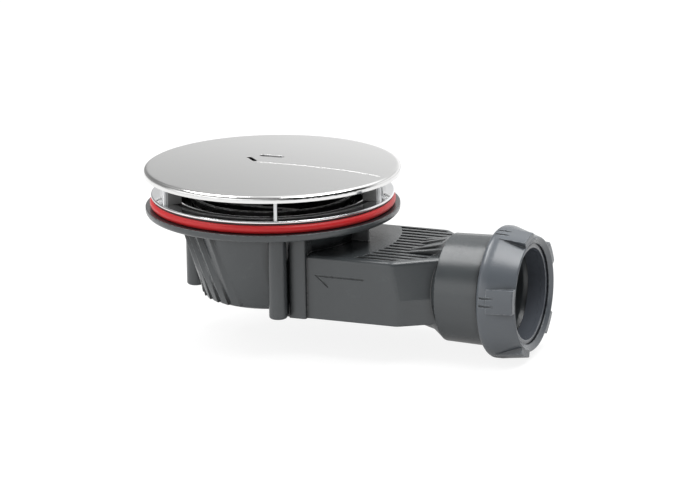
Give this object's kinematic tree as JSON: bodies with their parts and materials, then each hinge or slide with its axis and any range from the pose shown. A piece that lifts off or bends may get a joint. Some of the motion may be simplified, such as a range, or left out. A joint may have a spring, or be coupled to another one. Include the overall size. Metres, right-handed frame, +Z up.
{
  "type": "shower trap",
  "caption": "Shower trap with a round raised cover, clamp ring and red seal on a moulded bowl, and a side outlet with a compression nut for a waste pipe.",
  "frame": {"origin": "centre of the body flange's top face, where the tray's seal sits", "axes": "+Z up through the tray hole, +X along the outlet, +Y to the left of the flow"},
  "size_m": [0.1817, 0.115, 0.0792],
  "materials": {
    "satin_steel": "satin",
    "chromed_plastic": "polished chrome over plastic",
    "black_rubber": "matt",
    "red_rubber": "soft satin",
    "dark_plastic": "fine moulded satin",
    "bright_steel": "bright",
    "black_plastic": "satin",
    "grey_plastic": "moulded satin",
    "smooth_grey_plastic": "smooth",
    "grey_rubber": "matt"
  },
  "bodies": {
    "trap": {"cover_plate": "satin_steel", "cover_frame": "chromed_plastic", "clamp_ring": "chromed_plastic", "lip_gasket": "black_rubber", "tray_seal": "red_rubber", "trap_body": "dark_plastic", "clamp_screws": "bright_steel", "trap_insert": "black_plastic", "insert_seal": "black_rubber", "slip_ring": "smooth_grey_plastic", "pipe_seal": "grey_rubber"},
    "nut": {"compression_nut": "grey_plastic"}
  },
  "joints": [
    {"name": "nut_turn", "type": "hinge", "parent": "trap", "child": "nut", "pos_m": [0.107, 0, -0.0308], "axis": [1, 0, 0], "continuous": true}
  ]
}
